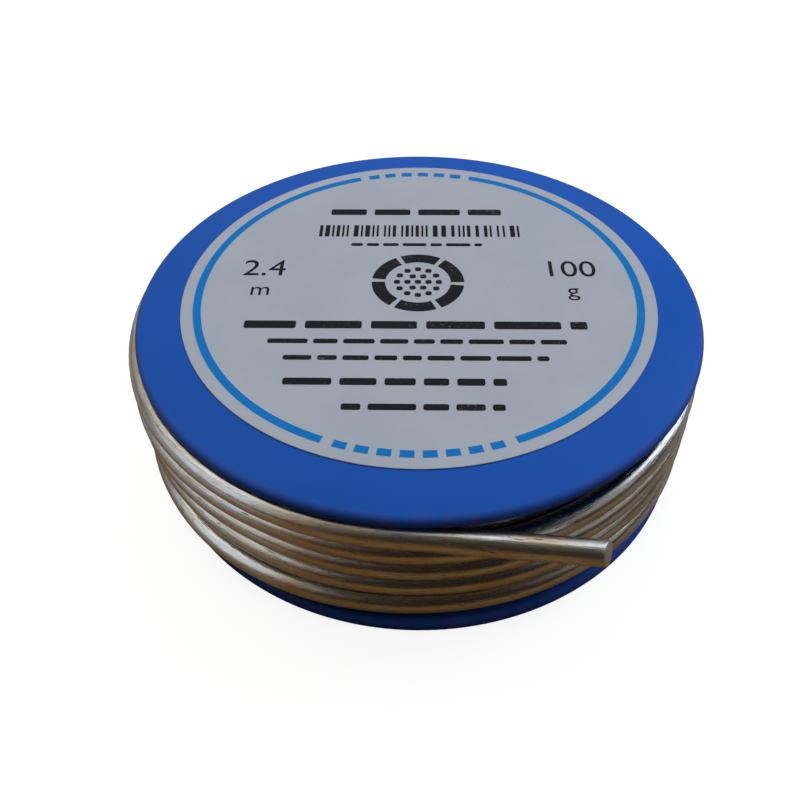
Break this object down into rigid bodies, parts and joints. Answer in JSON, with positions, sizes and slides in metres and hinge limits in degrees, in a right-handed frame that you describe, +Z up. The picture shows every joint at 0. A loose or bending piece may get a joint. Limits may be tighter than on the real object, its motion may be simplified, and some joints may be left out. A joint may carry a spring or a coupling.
{
  "type": "solder wire spool",
  "caption": "Flat plastic spool of soft solder wire: round flanges on a hollow drum, a round paper label on top, and wire wound flush with the flanges, its free end at the front.",
  "frame": {"origin": "on the spool's axis, in the plane of the lower flange's underside that the spool stands on", "axes": "+Z up along the spool's axis towards the label, -Y towards the side where the wire's free end leaves, +X the way the free end points"},
  "size_m": [0.0666, 0.0681, 0.0215],
  "materials": {
    "blue_plastic": "satin",
    "label_paper": "matte",
    "solder": "satin"
  },
  "bodies": {
    "root": {"upper_flange_and_drum": "blue_plastic", "lower_flange": "blue_plastic", "paper_label": "label_paper", "solder_inner_layers": "solder", "solder_outer_winding": "solder", "solder_free_end": "solder"}
  },
  "joints": []
}
